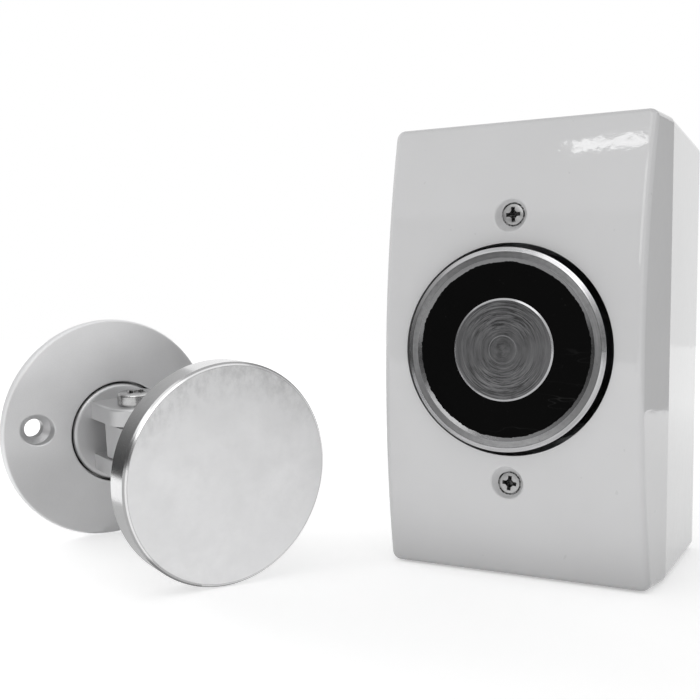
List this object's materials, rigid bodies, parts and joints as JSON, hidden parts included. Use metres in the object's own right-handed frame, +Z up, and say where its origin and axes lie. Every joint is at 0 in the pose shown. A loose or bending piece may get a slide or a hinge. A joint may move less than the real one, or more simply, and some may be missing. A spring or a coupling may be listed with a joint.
{
  "type": "electromagnetic door holder",
  "caption": "Wall box with an arched cover and a round electromagnet, beside a domed door plate that carries a swivelling, hinged armature disc.",
  "frame": {"origin": "centre of the wire entry on the wall unit's back face", "axes": "+Y into the wall, along the wire entry; +Z up; +X to the right when facing the magnet"},
  "size_m": [0.1702, 0.123, 0.1143],
  "materials": {
    "enamel": "gloss",
    "plated_steel": "satin",
    "pole_steel": "turned",
    "satin_metal": "satin",
    "armature_steel": "plated",
    "potting": "matte",
    "bobbin_plastic": "matte",
    "terminal_plastic": "matte",
    "lead_insulation": "satin",
    "brass": "satin",
    "copper": "enamelled wire"
  },
  "bodies": {
    "holder": {"back_box": "enamel", "front_cover": "enamel", "cover_screws": "plated_steel", "mounting_strap": "plated_steel", "strap_screws": "plated_steel", "magnet_cup": "plated_steel", "center_pole": "pole_steel", "coil_bobbin": "bobbin_plastic", "coil_winding": "copper", "potting_ring": "potting", "magnet_bolt": "plated_steel", "bolt_washer": "plated_steel", "terminal_block": "terminal_plastic", "terminal_screws": "brass", "block_screws": "plated_steel", "coil_leads": "lead_insulation", "door_plate": "satin_metal", "friction_washer": "bobbin_plastic", "retaining_ring": "plated_steel"},
    "swivel": {"swivel_base": "satin_metal", "pivot_screw": "plated_steel"},
    "armature": {"armature_stem": "plated_steel", "armature_disc": "armature_steel"}
  },
  "joints": [
    {"name": "swivel_turn", "type": "hinge", "parent": "holder", "child": "swivel", "pos_m": [-0.1214, -0.0673, -0.02524], "axis": [0.9005, -0.4295, -0.0678], "continuous": true},
    {"name": "armature_tilt", "type": "hinge", "parent": "swivel", "child": "armature", "pos_m": [-0.10195, -0.07658, -0.0267], "axis": [0.0158, -0.1234, 0.9922], "range_deg": [-75, 75]}
  ]
}
